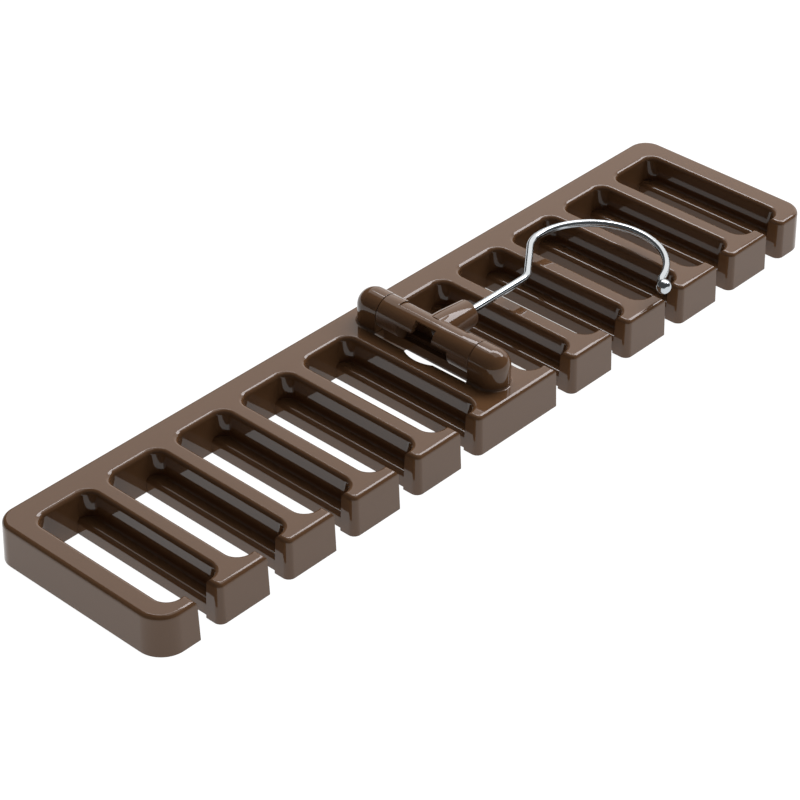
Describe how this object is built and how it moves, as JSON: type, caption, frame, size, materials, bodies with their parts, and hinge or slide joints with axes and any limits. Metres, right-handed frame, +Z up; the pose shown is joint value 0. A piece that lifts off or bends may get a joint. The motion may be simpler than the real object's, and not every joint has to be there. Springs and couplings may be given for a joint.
{
  "type": "tie hanger",
  "caption": "Moulded tie rack with open slots along one edge, a ledge in every slot, a fold-flat hook holder and a turning wire hook.",
  "frame": {"origin": "middle of the rack's underside", "axes": "+X along the rack, towards the side that the hook is folded to; +Y from the slotted edge to the back edge; +Z up"},
  "size_m": [0.3556, 0.0872, 0.0306],
  "materials": {
    "brown_plastic": "gloss",
    "bright_wire": "polished"
  },
  "bodies": {
    "rack": {"rack": "brown_plastic"},
    "holder": {"hook_holder": "brown_plastic"},
    "hook": {"wire_hook": "bright_wire"}
  },
  "joints": [
    {"name": "fold", "type": "hinge", "parent": "rack", "child": "holder", "pos_m": [0, 0, 0.02373], "axis": [0, 1, 0], "range_deg": [-170, 0]},
    {"name": "swivel", "type": "hinge", "parent": "holder", "child": "hook", "pos_m": [0.0195, 0, 0.02373], "axis": [1, 0, 0], "range_deg": [-18, 0]}
  ]
}
